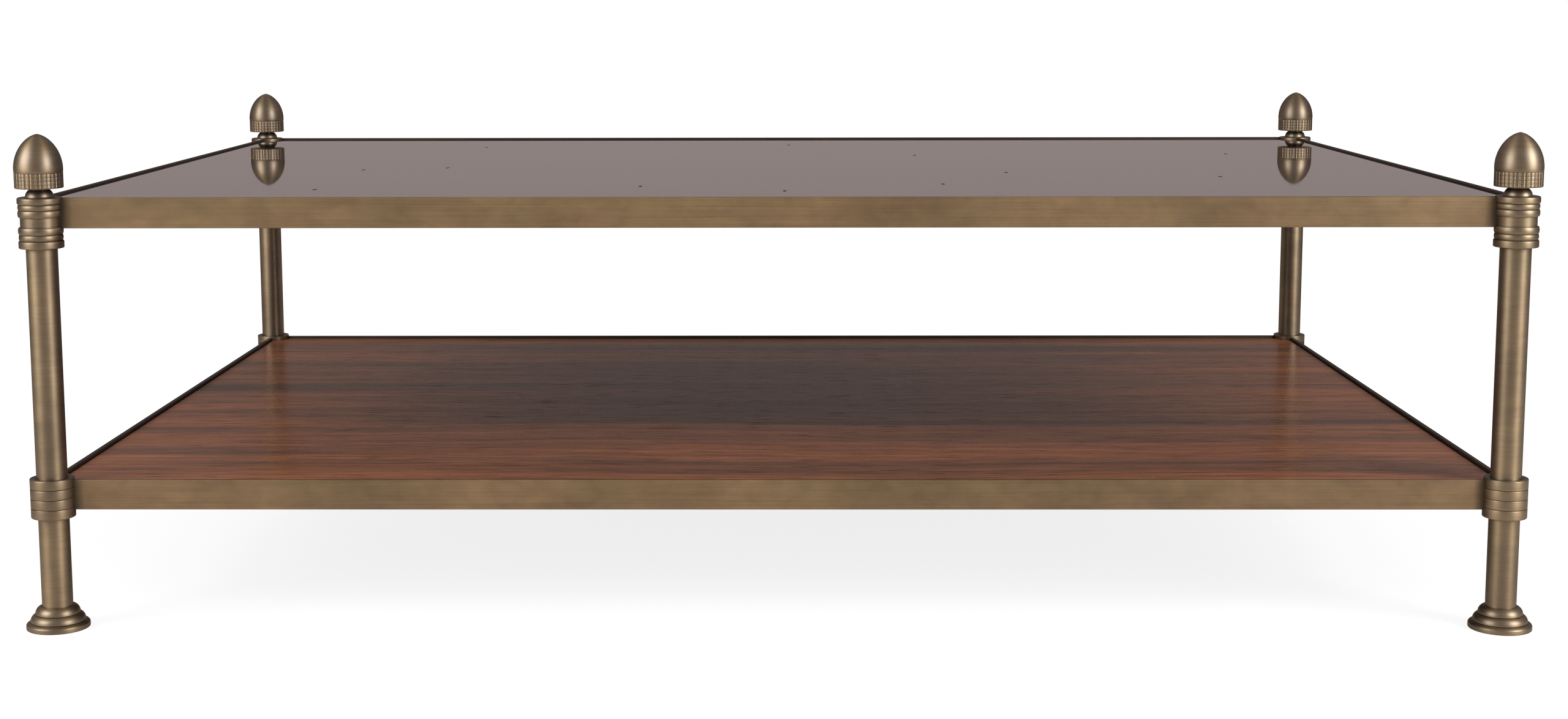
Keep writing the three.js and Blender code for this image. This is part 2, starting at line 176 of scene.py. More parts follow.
class COFFEETABLE_PG_brass(bpy.types.PropertyGroup):
    """Finish of the antique brushed brass."""

    light: colour("Light tone", "Rubbed brass of the turned pieces", (0.365, 0.256, 0.130))
    dark: colour("Dark tone", "Patinated brass of the turned pieces", (0.243, 0.168, 0.084))
    rail_light: colour("Rail light tone", "Rubbed brass of the rails", (0.420, 0.290, 0.150))
    rail_dark: colour("Rail dark tone", "Patinated brass of the rails", (0.310, 0.212, 0.112))
    rim: colour("Rim tint", "Tint of the brass at a glancing angle", (0.35, 0.27, 0.20))
    # Patina and painted shade in grooves and corners, and painted shade where the rails meet their
    # collars.
    groove_patina_and_shade: colour("Groove tone", "Patina left in grooves and corners", (0.045, 0.031, 0.018))
    bloom: colour("Bloom tone", "Reddish patches, as a filter", (0.99, 0.945, 0.965))
    # Painted shade: darker tones of the rails' brass for their tops and inner faces.
    shade_light: colour("Light tone in shade", "Tops and inner faces of the rails", (0.085, 0.056, 0.034))
    shade_dark: colour("Dark tone in shade", "Their darker patches", (0.055, 0.036, 0.023))
    roughness: amount("Roughness", "Roughness of the turned pieces", 0.5)
    anisotropy: amount("Anisotropy", "How far turning marks draw highlights out", 0.6)
    rail_roughness: amount("Rail roughness", "Roughness of the rails", 0.64)
    rail_anisotropy: amount("Rail anisotropy", "How far the rails' brushing draws highlights out", 0.2)
    lacquer: amount("Lacquer", "Weight of the clear lacquer", 1.0)
    lacquer_roughness: amount("Lacquer roughness", "Roughness of the clear lacquer", 0.42)
    lacquer_ior: amount("Lacquer IOR", "How strongly the lacquer reflects", 1.8, 3.0)
    rail_lacquer_ior: amount("Rail lacquer IOR", "The same on the rails", 1.45, 3.0)


class COFFEETABLE_PG_mirror(bpy.types.PropertyGroup):
    """Finish of the bronze mirror."""

    tint: colour("Tint", "Bronze tint of the mirror seen from above", (0.43, 0.353, 0.322))
    edge: colour("Edge", "Ground edge of the glass", (0.045, 0.036, 0.026))
    speck: colour("Speck", "Spots where the silvering has gone", (0.03, 0.022, 0.018))
    roughness: amount("Roughness", "Roughness of the glass", 0.02)


class COFFEETABLE_PG_veneer(bpy.types.PropertyGroup):
    """Finish of the veneered shelf."""

    red: colour("Red", "Sapwood side of the figure", (0.510, 0.168, 0.067))
    brown: colour("Brown", "Middle tone of the figure", (0.295, 0.112, 0.058))
    dark: colour("Dark", "Dark streaks of the figure", (0.086, 0.043, 0.029))
    core: colour("Core", "Stained edge of the board", (0.030, 0.017, 0.011))
    roughness: amount("Roughness", "Roughness of the lacquer", 0.24)


class COFFEETABLE_PG_studio(bpy.types.PropertyGroup):
    """Camera, lamps, backdrop and floor."""

    camera_place: position("Camera place", "Where the camera stands", (0.00889, -2.20219, 0.51594))
    camera_pitch: rotation("Camera pitch", "How far it looks down", 0.1322)
    camera_yaw: rotation("Camera yaw", "How far it looks to the right", -0.0080)
    camera_roll: rotation("Camera roll", "How far it leans", -0.0017)
    focal: number("Focal length", "In picture widths", 1.41996875)
    shift_x: number("Shift X", "How far the lens is shifted sideways", 0.00884)
    shift_y: number("Shift Y", "How far the lens is shifted upwards", -0.03882)
    left_place: position("Left place", "Where the left lamp stands", (-2.52, -1.81, 1.45))
    left_power: power("Left power", "Power of the lamp at the front left", 60.0)
    left_size: length("Left size", "Width of the lamp at the front left", 1.8)
    right_place: position("Right place", "Where the right lamp stands", (2.65, -2.12, 1.45))
    right_power: power("Right power", "Power of the lamp at the front right", 84.0)
    right_size: length("Right size", "Width of the lamp at the front right", 1.4)
    lamp_height: length("Lamp height", "Height of the two front lamps", 1.8)
    ambient: amount("Ambient", "Light from all round", 0.50)
    wall: colour("Wall", "Studio wall that shows in the mirror", (0.315, 0.270, 0.265))
    dark_band: colour("Dark band", "Dark part that shows in the shelf", (0.10, 0.085, 0.08))
    upper_wall: colour("Upper wall", "Wall and ceiling higher up", (0.26, 0.235, 0.23))
    floor_radius: length("Floor radius", "How far the floor reaches", 14.0)
    fade_from: length("Fade from", "Where the floor begins to fade into the backdrop", 1.2)
    fade_to: length("Fade to", "Where the floor has faded into the backdrop", 3.2)
    floor: colour("Floor", "The floor near the table, as metal sees it", (0.62, 0.55, 0.47))
    far_floor: colour("Far floor", "The same further away", (0.20, 0.18, 0.16))
    shown_floor: amount("Shown floor", "How strongly the floor shows light and shadow", 0.24)
    floor_glow: amount("Floor glow", "Even light that lifts the shown floor to white", 0.845)


class COFFEETABLE_PG_settings(bpy.types.PropertyGroup):
    """All the settings of the table."""

    turning: bpy.props.PointerProperty(type=COFFEETABLE_PG_turning)
    rails: bpy.props.PointerProperty(type=COFFEETABLE_PG_rails)
    panels: bpy.props.PointerProperty(type=COFFEETABLE_PG_panels)
    brass: bpy.props.PointerProperty(type=COFFEETABLE_PG_brass)
    mirror: bpy.props.PointerProperty(type=COFFEETABLE_PG_mirror)
    veneer: bpy.props.PointerProperty(type=COFFEETABLE_PG_veneer)
    studio: bpy.props.PointerProperty(type=COFFEETABLE_PG_studio)


# ---- Places taken from the frame


def leg_axis(corner):
    """The point on the floor under the middle of a leg."""
    low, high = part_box(f"{corner}_foot")
    return Vector(((low.x + high.x) / 2, (low.y + high.y) / 2, 0.0))


def node_radius(node):
    low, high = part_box(node)
    return (high.x - low.x) / 2


def rod_hole(sizes):
    return node_radius("front_left_tie_rod") + sizes.fit_gap


def tube_socket(sizes):
    return node_radius("front_left_middle_tube") + sizes.fit_gap


# ---- Outlines of turned pieces: lists of (radius, height), from the bottom up the outside


def quarter_turn(steps):
    """The sine and cosine at each step of a quarter turn."""
    angles = [math.pi / 2 * step / steps for step in range(steps + 1)]
    return [(math.sin(angle), math.cos(angle)) for angle in angles]


def shoulder(wide, low, narrow, high, fullness, steps):
    """A rounded shoulder that rises from a wide circle to a narrow one."""
    points = []
    for sine, cosine in quarter_turn(steps):
        out = max(0.0, cosine) ** (2 / fullness)
        up = sine ** (2 / fullness)
        points.append((narrow + (wide - narrow) * out, low + (high - low) * up))
    return points


def bead(radius, low, high, low_edge, high_edge, steps):
    """A band with a rounded edge below and above."""
    points = []
    for sine, cosine in quarter_turn(steps):
        points.append((radius - low_edge * (1 - sine), low + low_edge * (1 - cosine)))
    for sine, cosine in quarter_turn(steps):
        points.append((radius - high_edge * (1 - cosine), high - high_edge * (1 - sine)))
    return points


RIB_FULLNESS = 0.6


def crown(radius, low, high, depth, steps):
    """A rib that swells out between two grooves."""
    points = []
    for step in range(2 * steps + 1):
        angle = math.pi / 2 * (step / steps - 1)
        out = depth * (1 - max(0.0, math.cos(angle)) ** RIB_FULLNESS)
        points.append((radius - out, (low + high) / 2 + (high - low) / 2 * math.sin(angle)))
    return points


def foot_outline(low, high, sizes):
    """Three steps with rounded shoulders, a socket for the tube and a recess for the glide pad."""
    pad_low, pad_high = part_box("front_left_foot_pad")
    recess = node_radius("front_left_foot_pad") + sizes.fit_gap
    base = node_radius("front_left_foot")
    middle = base - sizes.middle_in
    top = middle - sizes.top_in
    middle_low = low + sizes.base_height
    top_low = middle_low + sizes.middle_height
    steps = 2 * sizes.arc_steps
    edge = sizes.undercut
    socket = tube_socket(sizes)
    hole = rod_hole(sizes)
    points = [(recess, low)]
    points += bead(base, low, middle_low - sizes.base_corner, edge, 0.0, sizes.arc_steps)
    corner_low = middle_low - sizes.base_corner
    points += shoulder(base, corner_low, middle - edge, middle_low, sizes.step_fullness, steps)
    points += shoulder(middle, middle_low + edge, top - edge, top_low, sizes.step_fullness, steps)
    points += shoulder(top, top_low + edge, socket, high, sizes.step_fullness, steps)
    points += [(socket, high - sizes.socket_depth), (hole, high - sizes.socket_depth)]
    points += [(hole, pad_high.z), (recess, pad_high.z)]
    return points


def pad_outline(low, high, sizes):
    radius = node_radius("front_left_foot_pad")
    outside = bead(radius, low, high, sizes.undercut, sizes.undercut, sizes.arc_steps)
    return [(0.0, low), *outside, (0.0, high)]


def tube_outline(low, high, sizes):
    outer = node_radius("front_left_middle_tube")
    inner = outer - sizes.tube_wall
    return [(inner, low), (outer, low), (outer, high), (inner, high)]


def lower_collar_outline(low, high, sizes):
    """Equal bands parted by fine grooves, with a socket for a tube at each end."""
    radius = node_radius("front_left_lower_collar")
    band_height = (high - low) / sizes.bands
    edge = sizes.band_edge
    socket = tube_socket(sizes)
    hole = rod_hole(sizes)
    points = [(socket, low)]
    for band in range(sizes.bands):
        band_low = low + band * band_height
        points += bead(radius, band_low, band_low + band_height, edge, edge, sizes.arc_steps)
    points += [(socket, high), (socket, high - sizes.socket_depth)]
    points += [(hole, high - sizes.socket_depth), (hole, low + sizes.socket_depth)]
    points += [(socket, low + sizes.socket_depth)]
    return points


# A point lies in a groove when the outline stands further out within this reach on both sides of
# it, and it is wholly dark, with patina and painted shade, when it lies this deep.
RECESS_REACH = 1.6 * MM
RECESS_DEPTH = 1.0 * MM

# Ribs of the upper collar in mm: bottom and top, from the collar's lower end for the lower group
# and from its upper end for the upper group, and how far each is set in.
LOWER_RIBS = ((6.3, 11.3, 0.4), (11.3, 17.2, 0.1))
UPPER_RIBS = ((-16.2, -10.4, 0.2), (-10.4, -5.6, 0.4))
LOWER_FLANGE = 6.3 * MM
UPPER_FLANGE = 5.6 * MM
PLAIN_BAND_SET_IN = 1.9 * MM
# The plain band is free of patina and painted shade at this distance from its ends.
PLAIN_BAND_UNDARKENED = 1.1 * RECESS_REACH


def upper_collar_outline(low, high, sizes):
    """A flange and two ribs at each end, and a plain band between the two groups."""
    radius = node_radius("front_left_upper_collar")
    plain = radius - PLAIN_BAND_SET_IN
    socket = tube_socket(sizes)
    hole = rod_hole(sizes)
    depth = sizes.rib_depth
    steps = sizes.arc_steps
    points = [(socket, low)]
    points += bead(radius, low, low + LOWER_FLANGE, sizes.edge, depth, steps)
    for bottom, top, set_in in LOWER_RIBS:
        points += crown(radius - set_in * MM, low + bottom * MM, low + top * MM, depth, steps)
    plain_low, plain_high = low + LOWER_RIBS[-1][1] * MM, high + UPPER_RIBS[0][0] * MM
    points += [(plain, plain_low), (plain, plain_low + PLAIN_BAND_UNDARKENED)]
    points += [(plain, plain_high - PLAIN_BAND_UNDARKENED), (plain, plain_high)]
    for bottom, top, set_in in UPPER_RIBS:
        points += crown(radius - set_in * MM, high + bottom * MM, high + top * MM, depth, steps)
    points += bead(radius, high - UPPER_FLANGE, high, depth, depth, steps)
    points += [(hole, high), (hole, low + sizes.socket_depth), (socket, low + sizes.socket_depth)]
    return points


# The neck's flared foot has a softened edge and ends a little outside the bell. Shares of the
# neck's height give where the flare ends, where the bell begins and where it meets the waist.
NECK_EDGE = 0.3 * MM
FLARE_OVERHANG = 0.1 * MM
FLARE_END, BELL_START, BELL_END = 0.11, 0.22, 0.84
BELL_FULLNESS = 1.35


def neck_outline(low, high, sizes):
    """A bell that spreads from a narrow waist down to a small flared foot."""
    flare = node_radius("front_left_neck")
    height = high - low
    hole = rod_hole(sizes)
    points = [(hole, low), (flare - NECK_EDGE, low), (flare, low + NECK_EDGE)]
    points += [(sizes.bell + FLARE_OVERHANG, low + FLARE_END * height)]
    bell = (low + BELL_START * height, sizes.waist, low + BELL_END * height, BELL_FULLNESS)
    points += shoulder(sizes.bell, *bell, 2 * sizes.arc_steps)
    points += [(sizes.waist, high), (hole, high)]
    return points


def cup_outline(low, high, sizes):
    """A ring cut into rows by fine grooves. Its upright flutes are cut after it is turned."""
    radius = node_radius("front_left_acorn_cup")
    hole = rod_hole(sizes)
    row = (high - low) / sizes.cup_rows
    points = [(hole, low)]
    for index in range(sizes.cup_rows):
        low_edge = sizes.edge if index == 0 else sizes.row_groove
        row_low = low + index * row
        points += bead(radius, row_low, row_low + row, low_edge, sizes.row_groove, sizes.arc_steps)
    points += [(hole, high)]
    return points


# The dome's rounded lower lip in mm: how far in and how high each of its points lies.
DOME_LIP = ((0.7, 0.0), (0.3, 0.2), (0.1, 0.6))


def dome_outline(low, high, sizes):
    """A smooth dome that comes to a soft point."""
    radius = node_radius("front_left_acorn")
    hole = rod_hole(sizes)
    rod_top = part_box("front_left_tie_rod")[1].z + sizes.fit_gap
    points = [(0.0, rod_top), (hole, rod_top), (hole, low)]
    points += [(radius - set_in * MM, low + rise * MM) for set_in, rise in DOME_LIP]
    corners = (
        Vector((radius, low + sizes.dome_widest)),
        Vector((radius, low + sizes.dome_widest + sizes.shoulder_pull)),
        Vector((sizes.tip_pull, high - sizes.tip_drop)),
        Vector((0.0, high)),
    )
    for step in range(sizes.dome_steps + 1):
        t = step / sizes.dome_steps
        shares = ((1 - t) ** 3, 3 * t * (1 - t) ** 2, 3 * t * t * (1 - t), t**3)
        point = sum((share * corner for share, corner in zip(shares, corners)), Vector((0.0, 0.0)))
        points.append((point.x, point.y))
    return points


# ---- Modelling


CREASE = math.radians(35)
# A face counts as square to an axis when its normal comes this close to it.
SQUARE = 0.99999
MERGE_DISTANCE = 0.001 * MM


def recess_at(outline, radius, height):
    """How deep a point of an outline lies in a groove, from 0 to 1."""
    below = max(r for r, z in outline if 0 <= height - z <= RECESS_REACH)
    above = max(r for r, z in outline if 0 <= z - height <= RECESS_REACH)
    return min(1.0, max(0.0, (min(below, above) - radius) / RECESS_DEPTH))


def turned(outline, axis, sides):
    """Turns an outline round a leg's axis. An outline that starts off the axis closes on itself."""
    mesh = bmesh.new()
    recess = mesh.verts.layers.float.new("recess")
    verts = []
    for radius, height in outline:
        vert = mesh.verts.new((axis.x + radius, axis.y, height))
        vert[recess] = recess_at(outline, radius, height)
        verts.append(vert)
    pairs = list(zip(verts, verts[1:]))
    if outline[0][0] > 0:
        pairs.append((verts[-1], verts[0]))
    edges = [mesh.edges.new(pair) for pair in pairs]
    bmesh.ops.spin(
        mesh,
        geom=verts + edges,
        cent=axis,
        axis=(0, 0, 1),
        angle=2 * math.pi,
        steps=sides,
        use_merge=True,
    )
    bmesh.ops.remove_doubles(mesh, verts=mesh.verts, dist=MERGE_DISTANCE)
    bmesh.ops.recalc_face_normals(mesh, faces=mesh.faces)
    return mesh


# The flutes differ a little in depth, by up to this share, from one to the next by this angle.
FLUTE_WEAR = 0.2
FLUTE_WEAR_ANGLE = 2.4
FLUTE_PATINA_AND_SHADE = 0.6


def cut_flutes(mesh, axis, radius, sizes):
    """Draws in the outer wall of a turned ring in upright flutes, and leaves patina and painted shade
    in them.
    """
    recess = mesh.verts.layers.float["recess"]
    pitch = 2 * math.pi / sizes.flutes
    wall = radius - sizes.edge - sizes.row_groove
    half_share = sizes.flute_share / 2
    middle = 1 - half_share
    for vert in mesh.verts:
        out = Vector((vert.co.x - axis.x, vert.co.y - axis.y))
        if out.length < wall:
            continue
        turns = math.atan2(out.y, out.x) % (2 * math.pi) / pitch
        index = int(turns)
        along = turns - index
        distance = min(abs(along - middle), 1 + along - middle) / half_share
        if distance < 1:
            worn = 1 - FLUTE_WEAR * (1 - math.sin(FLUTE_WEAR_ANGLE * index))
            depth = worn * sizes.flute_depth * math.cos(distance * math.pi / 2)
            # Patina and painted shade, darkest in the middle of each flute.
            vert[recess] = max(vert[recess], FLUTE_PATINA_AND_SHADE * worn * (1 - distance))
            out *= (out.length - depth) / out.length
            vert.co.x, vert.co.y = axis.x + out.x, axis.y + out.y


# Painted shade on the neck, under the acorn, begins at this share of its height, deepens over the next
# share, and reaches this depth.
NECK_SHADE_START = 0.15
NECK_SHADE_SPREAD = 0.5
NECK_SHADE = 0.8


def shade_neck(mesh, _axis, _radius, _sizes):
    """Painted shade in the shelter of the acorn, fading out down the neck."""
    recess = mesh.verts.layers.float["recess"]
    low = min(vert.co.z for vert in mesh.verts)
    high = max(vert.co.z for vert in mesh.verts)
    for vert in mesh.verts:
        rise = (vert.co.z - low) / (high - low)
        deepened = (rise - NECK_SHADE_START) / NECK_SHADE_SPREAD
        vert[recess] = min(NECK_SHADE, max(0.0, deepened))


def soften(mesh, geometry, affect, width, steps):
    """Rounds off corners or edges."""
    bmesh.ops.bevel(
        mesh,
        geom=geometry,
        offset=width,
        affect=affect,
        segments=steps,
        profile=0.5,
        material=-1,
    )


def extrude(mesh, way):
    """Draws a flat mesh out into a solid."""
    grown = bmesh.ops.extrude_face_region(mesh, geom=mesh.faces[:])
    moved = [item for item in grown["geom"] if isinstance(item, bmesh.types.BMVert)]
    bmesh.ops.translate(mesh, verts=moved, vec=way)


def rail_mesh(span, height, width, cope, sizes):
    """Brass angle along X, its ends coped round the collars and its ledge mitred."""
    half = sizes.wall / 2
    inner = width - half
    corners = (
        (-half, 0),
        (inner, 0),
        (inner, sizes.wall),
        (half, sizes.wall),
        (half, height),
        (-half, height),
    )
    mesh = bmesh.new()
    verts = [mesh.verts.new((-span / 2, y, z)) for y, z in corners]
    mesh.faces.new(verts)
    soften(mesh, verts, "VERTICES", sizes.edge, sizes.edge_steps)
    extrude(mesh, (span, 0, 0))
    for cut in range(1, sizes.cuts):
        depth = half + (cope - half) * cut / (sizes.cuts - 1)
        geometry = mesh.verts[:] + mesh.edges[:] + mesh.faces[:]
        bmesh.ops.bisect_plane(mesh, geom=geometry, plane_co=(0, depth, 0), plane_no=(0, 1, 0))
    for vert in mesh.verts:
        y = vert.co.y
        round_collar = math.sqrt(max(0.0, cope**2 - y**2))
        setback = max(round_collar, y + sizes.miter_gap)
        vert.co.x = math.copysign(span / 2 - setback, vert.co.x)
    bmesh.ops.recalc_face_normals(mesh, faces=mesh.faces)
    brushing = mesh.loops.layers.uv.new("brushing")
    for face in mesh.faces:
        for loop in face.loops:
            loop[brushing].uv = (loop.vert.co.x, loop.vert.co.y + loop.vert.co.z)
    return mesh


def board_mesh(outline, low, high, edge):
    """A flat board with softened edges from an outline of (x, y) points."""
    mesh = bmesh.new()
    verts = [mesh.verts.new((x, y, low)) for x, y in outline]
    mesh.faces.new(verts)
    extrude(mesh, (0, 0, high - low))
    rims = [item for item in mesh.edges if abs(item.verts[0].co.z - item.verts[1].co.z) < edge]
    soften(mesh, rims, "EDGES", edge, 2)
    bmesh.ops.recalc_face_normals(mesh, faces=mesh.faces)
    return mesh


def shade(mesh):
    """Smooth shading with creases at sharp edges. Faces square to an axis stay flat."""
    for face in mesh.faces:
        face.smooth = max(abs(value) for value in face.normal) < SQUARE
    for edge in mesh.edges:
        edge.smooth = edge.calc_face_angle(0.0) < CREASE


def add_object(name, data):
    added = bpy.data.objects.new(name, data)
    bpy.context.scene.collection.objects.link(added)
    return added


def add_mesh(name, mesh, materials):
    """Makes an object of a mesh."""
    data = bpy.data.meshes.new(name)
    mesh.to_mesh(data)
    mesh.free()
    for material in materials:
        data.materials.append(material)
    return add_object(name, data)


def finish_piece(name, mesh, body, node, materials):
    """Puts a shaded piece on its body and lets it stand for its CAD node."""
    shade(mesh)
    piece = add_mesh(name, mesh, materials)
    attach(piece, body)
    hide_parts(node)


def turn_on_every_leg(
    part, outline_of, body="frame", look="brushed_brass_round", slot_name="brass_turned", **way
):
    """Turns one kind of piece for all four legs. Way gives its sides, or a cut made after it."""
    sizes = bpy.context.scene.coffee_table.turning
    for corner in CORNERS:
        node = f"{corner}_{part}"
        low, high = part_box(node)
        axis = leg_axis(corner)
        mesh = turned(outline_of(low.z, high.z, sizes), axis, way.get("sides", sizes.sides))
        if "cut" in way:
            way["cut"](mesh, axis, node_radius(node), sizes)
        rides_on = body.format(corner=corner)
        finish_piece(f"{node}_turned", mesh, rides_on, node, [finish(look)])


# ---- Materials


# The sockets of a Mix node that it uses for colours.
MIX_FACTOR, MIX_FIRST, MIX_SECOND, MIX_RESULT = 0, 6, 7, 2


class Graph:
    """The node graph of a material or world."""

    def __init__(self, tree):
        self.tree = tree
        tree.nodes.clear()

    def add(self, kind, inputs=None, **settings):
        """Adds a node. An input is a number, a colour or another node's output."""
        node = self.tree.nodes.new(kind)
        for key, value in settings.items():
            setattr(node, key, value)
        for key, value in (inputs or {}).items():
            if isinstance(value, bpy.types.NodeSocket):
                self.tree.links.new(value, node.inputs[key])
            else:
                node.inputs[key].default_value = value
        return node

    def noise(self, vector, scale, shift=(0, 0, 0), detail=3.0, roughness=0.55, distortion=0.0):
        """Noise with so many grains a metre along each axis."""
        inputs = {
            "Vector": self.mapped(vector, scale, shift),
            "Scale": 1.0,
            "Detail": detail,
            "Roughness": roughness,
            "Distortion": distortion,
        }
        return self.add("ShaderNodeTexNoise", inputs).outputs["Fac"]

    def mapped(self, vector, scale, shift=(0, 0, 0)):
        inputs = {"Vector": vector, "Scale": scale, "Location": shift}
        return self.add("ShaderNodeMapping", inputs).outputs["Vector"]

    def along(self, vector, axis):
        return self.add("ShaderNodeSeparateXYZ", {"Vector": vector}).outputs[axis]

    def vector(self, operation, *values, output="Vector"):
        inputs = dict(enumerate(values))
        return self.add("ShaderNodeVectorMath", inputs, operation=operation).outputs[output]

    def math(self, operation, *values):
        inputs = dict(enumerate(values))
        return self.add("ShaderNodeMath", inputs, operation=operation).outputs["Value"]

    def ranged(self, value, from_low, from_high, to_low=0.0, to_high=1.0):
        inputs = {
            "Value": value,
            "From Min": from_low,
            "From Max": from_high,
            "To Min": to_low,
            "To Max": to_high,
        }
        return self.add("ShaderNodeMapRange", inputs).outputs["Result"]

    def mix(self, factor, first, second, blend_type="MIX"):
        """Mixes two colours."""
        inputs = {MIX_FACTOR: factor, MIX_FIRST: first, MIX_SECOND: second}
        node = self.add("ShaderNodeMix", inputs, data_type="RGBA", blend_type=blend_type)
        return node.outputs[MIX_RESULT]

    def ramp(self, value, stops):
        """A colour ramp from a list of (place, colour)."""
        node = self.add("ShaderNodeValToRGB", {"Fac": value})
        elements = node.color_ramp.elements
        while len(elements) < len(stops):
            elements.new(1.0)
        for element, (place, tone) in zip(elements, stops):
            element.position = place
            element.color = solid(tone)
        return node.outputs["Color"]

    def shaded(self, tone, value, *stops):
        """Darkens a colour by a ramp of greys."""
        return self.mix(1.0, tone, self.ramp(value, stops), "MULTIPLY")

    def bump(self, height, strength, distance):
        inputs = {"Strength": strength, "Distance": distance, "Height": height}
        return self.add("ShaderNodeBump", inputs).outputs["Normal"]

    def either(self, factor, first, second):
        """Mixes two shaders."""
        return self.add("ShaderNodeMixShader", {0: factor, 1: first, 2: second}).outputs[0]

    def surface(self, shader, output="ShaderNodeOutputMaterial"):
        self.add(output, {"Surface": shader})


def solid(tone):
    """A colour with full alpha. A single number is a grey."""
    return (tone, tone, tone, 1.0) if isinstance(tone, (int, float)) else (*tone, 1.0)


def new_material(name):
    material = bpy.data.materials.new(name)
    material.use_nodes = True
    graph = Graph(material.node_tree)
    place = graph.add("ShaderNodeTexCoord").outputs["Object"]
    return material, graph, place


def finished(material, graph, inputs):
    """Closes a material with its one surface."""
    graph.surface(graph.add("ShaderNodeBsdfPrincipled", inputs).outputs[0])
    return material


# Grain of the brass, in grains a metre along each axis, by the way that its brushing runs.
BRUSHING = {"X": (7, 900, 900), "Y": (900, 7, 900), "ROUND": (45, 45, 620)}
PATINA_CLOUDS = {"X": (9, 16, 16), "Y": (16, 9, 16), "ROUND": (26, 26, 16)}
BLOOM_SHIFT = (4.1, 2.3, 1.7)
MOTTLE = (48, 48, 70)
# Painted shade on a rail near its collar: how far it reaches and how dark it gets.
JOINT_SHADE_REACH = 9 * MM
JOINT_SHADE_DEPTH = 0.9


def near_leg(graph, place):
    """How near a point lies to the collar at the end of its rail, from 0 to 1."""
    apart = graph.vector("SUBTRACT", graph.vector("ABSOLUTE", place), leg_axis("back_right"))
    flat = graph.vector("MULTIPLY", apart, (1.0, 1.0, 0.0))
    distance = graph.vector("LENGTH", flat, output="Value")
    collar = node_radius("front_left_upper_collar")
    return graph.ranged(distance, collar + JOINT_SHADE_REACH, collar)


def brushed_brass(name, along, in_shade=False):
    """Antique brass. Its brushing runs along X or Y on rails, and round the turned pieces."""
    look = bpy.context.scene.coffee_table.brass
    material, graph, place = new_material(name)
    turned_round = along == "ROUND"
    streaks = graph.noise(place, BRUSHING[along], roughness=0.6)
    clouds = graph.noise(place, PATINA_CLOUDS[along], detail=2.5, roughness=0.5)
    blooms = graph.noise(place, PATINA_CLOUDS[along], BLOOM_SHIFT, detail=1.0)
    mottle = graph.noise(place, MOTTLE, distortion=0.4)
    dark, light = (look.dark, look.light) if turned_round else (look.rail_dark, look.rail_light)
    # The rails' tops and inner faces take these darker tones as painted shade.
    if in_shade:
        dark, light = look.shade_dark, look.shade_light
    tone = graph.mix(graph.ranged(clouds, 0.35, 0.65), solid(dark), solid(light))
    tone = graph.mix(graph.ranged(blooms, 0.42, 0.62), tone, solid(look.bloom), "MULTIPLY")
    tone = graph.shaded(tone, mottle, (0.35, 0.84), (0.65, 1.0))
    if not turned_round:
        # Painted shade darkens the rail towards the collar at its end.
        joint_shade = graph.math("MULTIPLY", near_leg(graph, place), JOINT_SHADE_DEPTH)
        tone = graph.mix(joint_shade, tone, solid(look.groove_patina_and_shade))
    tone = graph.shaded(tone, streaks, (0.3, 0.78), (0.7, 1.0))
    if turned_round:
        # Patina and painted shade darken the grooves and hollows that the recess attribute marks.
        recess = graph.add("ShaderNodeAttribute", attribute_name="recess").outputs["Fac"]
        tone = graph.mix(graph.ranged(recess, 0.05, 0.9, 0.0, 0.85), tone, solid(look.groove_patina_and_shade))
        tangent = graph.add("ShaderNodeTangent", direction_type="RADIAL", axis="Z")
    else:
        tangent = graph.add("ShaderNodeTangent", direction_type="UV_MAP", uv_map="brushing")
    roughness = look.roughness if turned_round else look.rail_roughness
    inputs = {
        "Base Color": tone,
        "Metallic": 1.0,
        "Roughness": graph.ranged(streaks, 0.2, 0.8, roughness - 0.05, roughness + 0.05),
        "Specular Tint": solid(look.rim),
        "Anisotropic": look.anisotropy if turned_round else look.rail_anisotropy,
        "Anisotropic Rotation": 0.25,
        "Tangent": tangent.outputs["Tangent"],
        "Coat Weight": look.lacquer,
        "Coat Roughness": look.lacquer_roughness,
        "Coat IOR": look.lacquer_ior if turned_round else look.rail_lacquer_ior,
        "Normal": graph.bump(streaks, 0.12, 0.1 * MM),
    }
    return finished(material, graph, inputs)


# Cells a metre, of which some hold a speck, and the speck's radius and soft rim in cells.
SPECK_CELLS = (15.0, 4.0, 1.0)
SPECKED_SHARE = 0.22
SPECK_RADIUS = 0.030
SPECK_CORE = 0.018


def bronze_mirror(name):
    """Bronze mirror glass with a few spots where the silvering has gone."""
    look = bpy.context.scene.coffee_table.mirror
    material, graph, place = new_material(name)
    scattered = {"Vector": graph.mapped(place, SPECK_CELLS), "Scale": 1.0, "Randomness": 1.0}
    cells = graph.add("ShaderNodeTexVoronoi", scattered, voronoi_dimensions="2D").outputs
    near = graph.ranged(cells["Distance"], SPECK_RADIUS, SPECK_CORE)
    lot = graph.add("ShaderNodeSeparateColor", {"Color": cells["Color"]}).outputs["Red"]
    specks = graph.math("MULTIPLY", near, graph.math("LESS_THAN", lot, SPECKED_SHARE))
    film = graph.noise(place, (5, 5, 5))
    haze = graph.ranged(film, 0.3, 0.8, look.roughness, look.roughness + 0.03)
    tint = graph.shaded(solid(look.tint), film, (0.35, 0.95), (0.65, 1.0))
    inputs = {
        "Base Color": graph.mix(specks, tint, solid(look.speck)),
        "Metallic": graph.math("SUBTRACT", 1.0, specks),
        "Roughness": graph.math("ADD", haze, graph.math("MULTIPLY", specks, 0.6)),
    }
    return finished(material, graph, inputs)


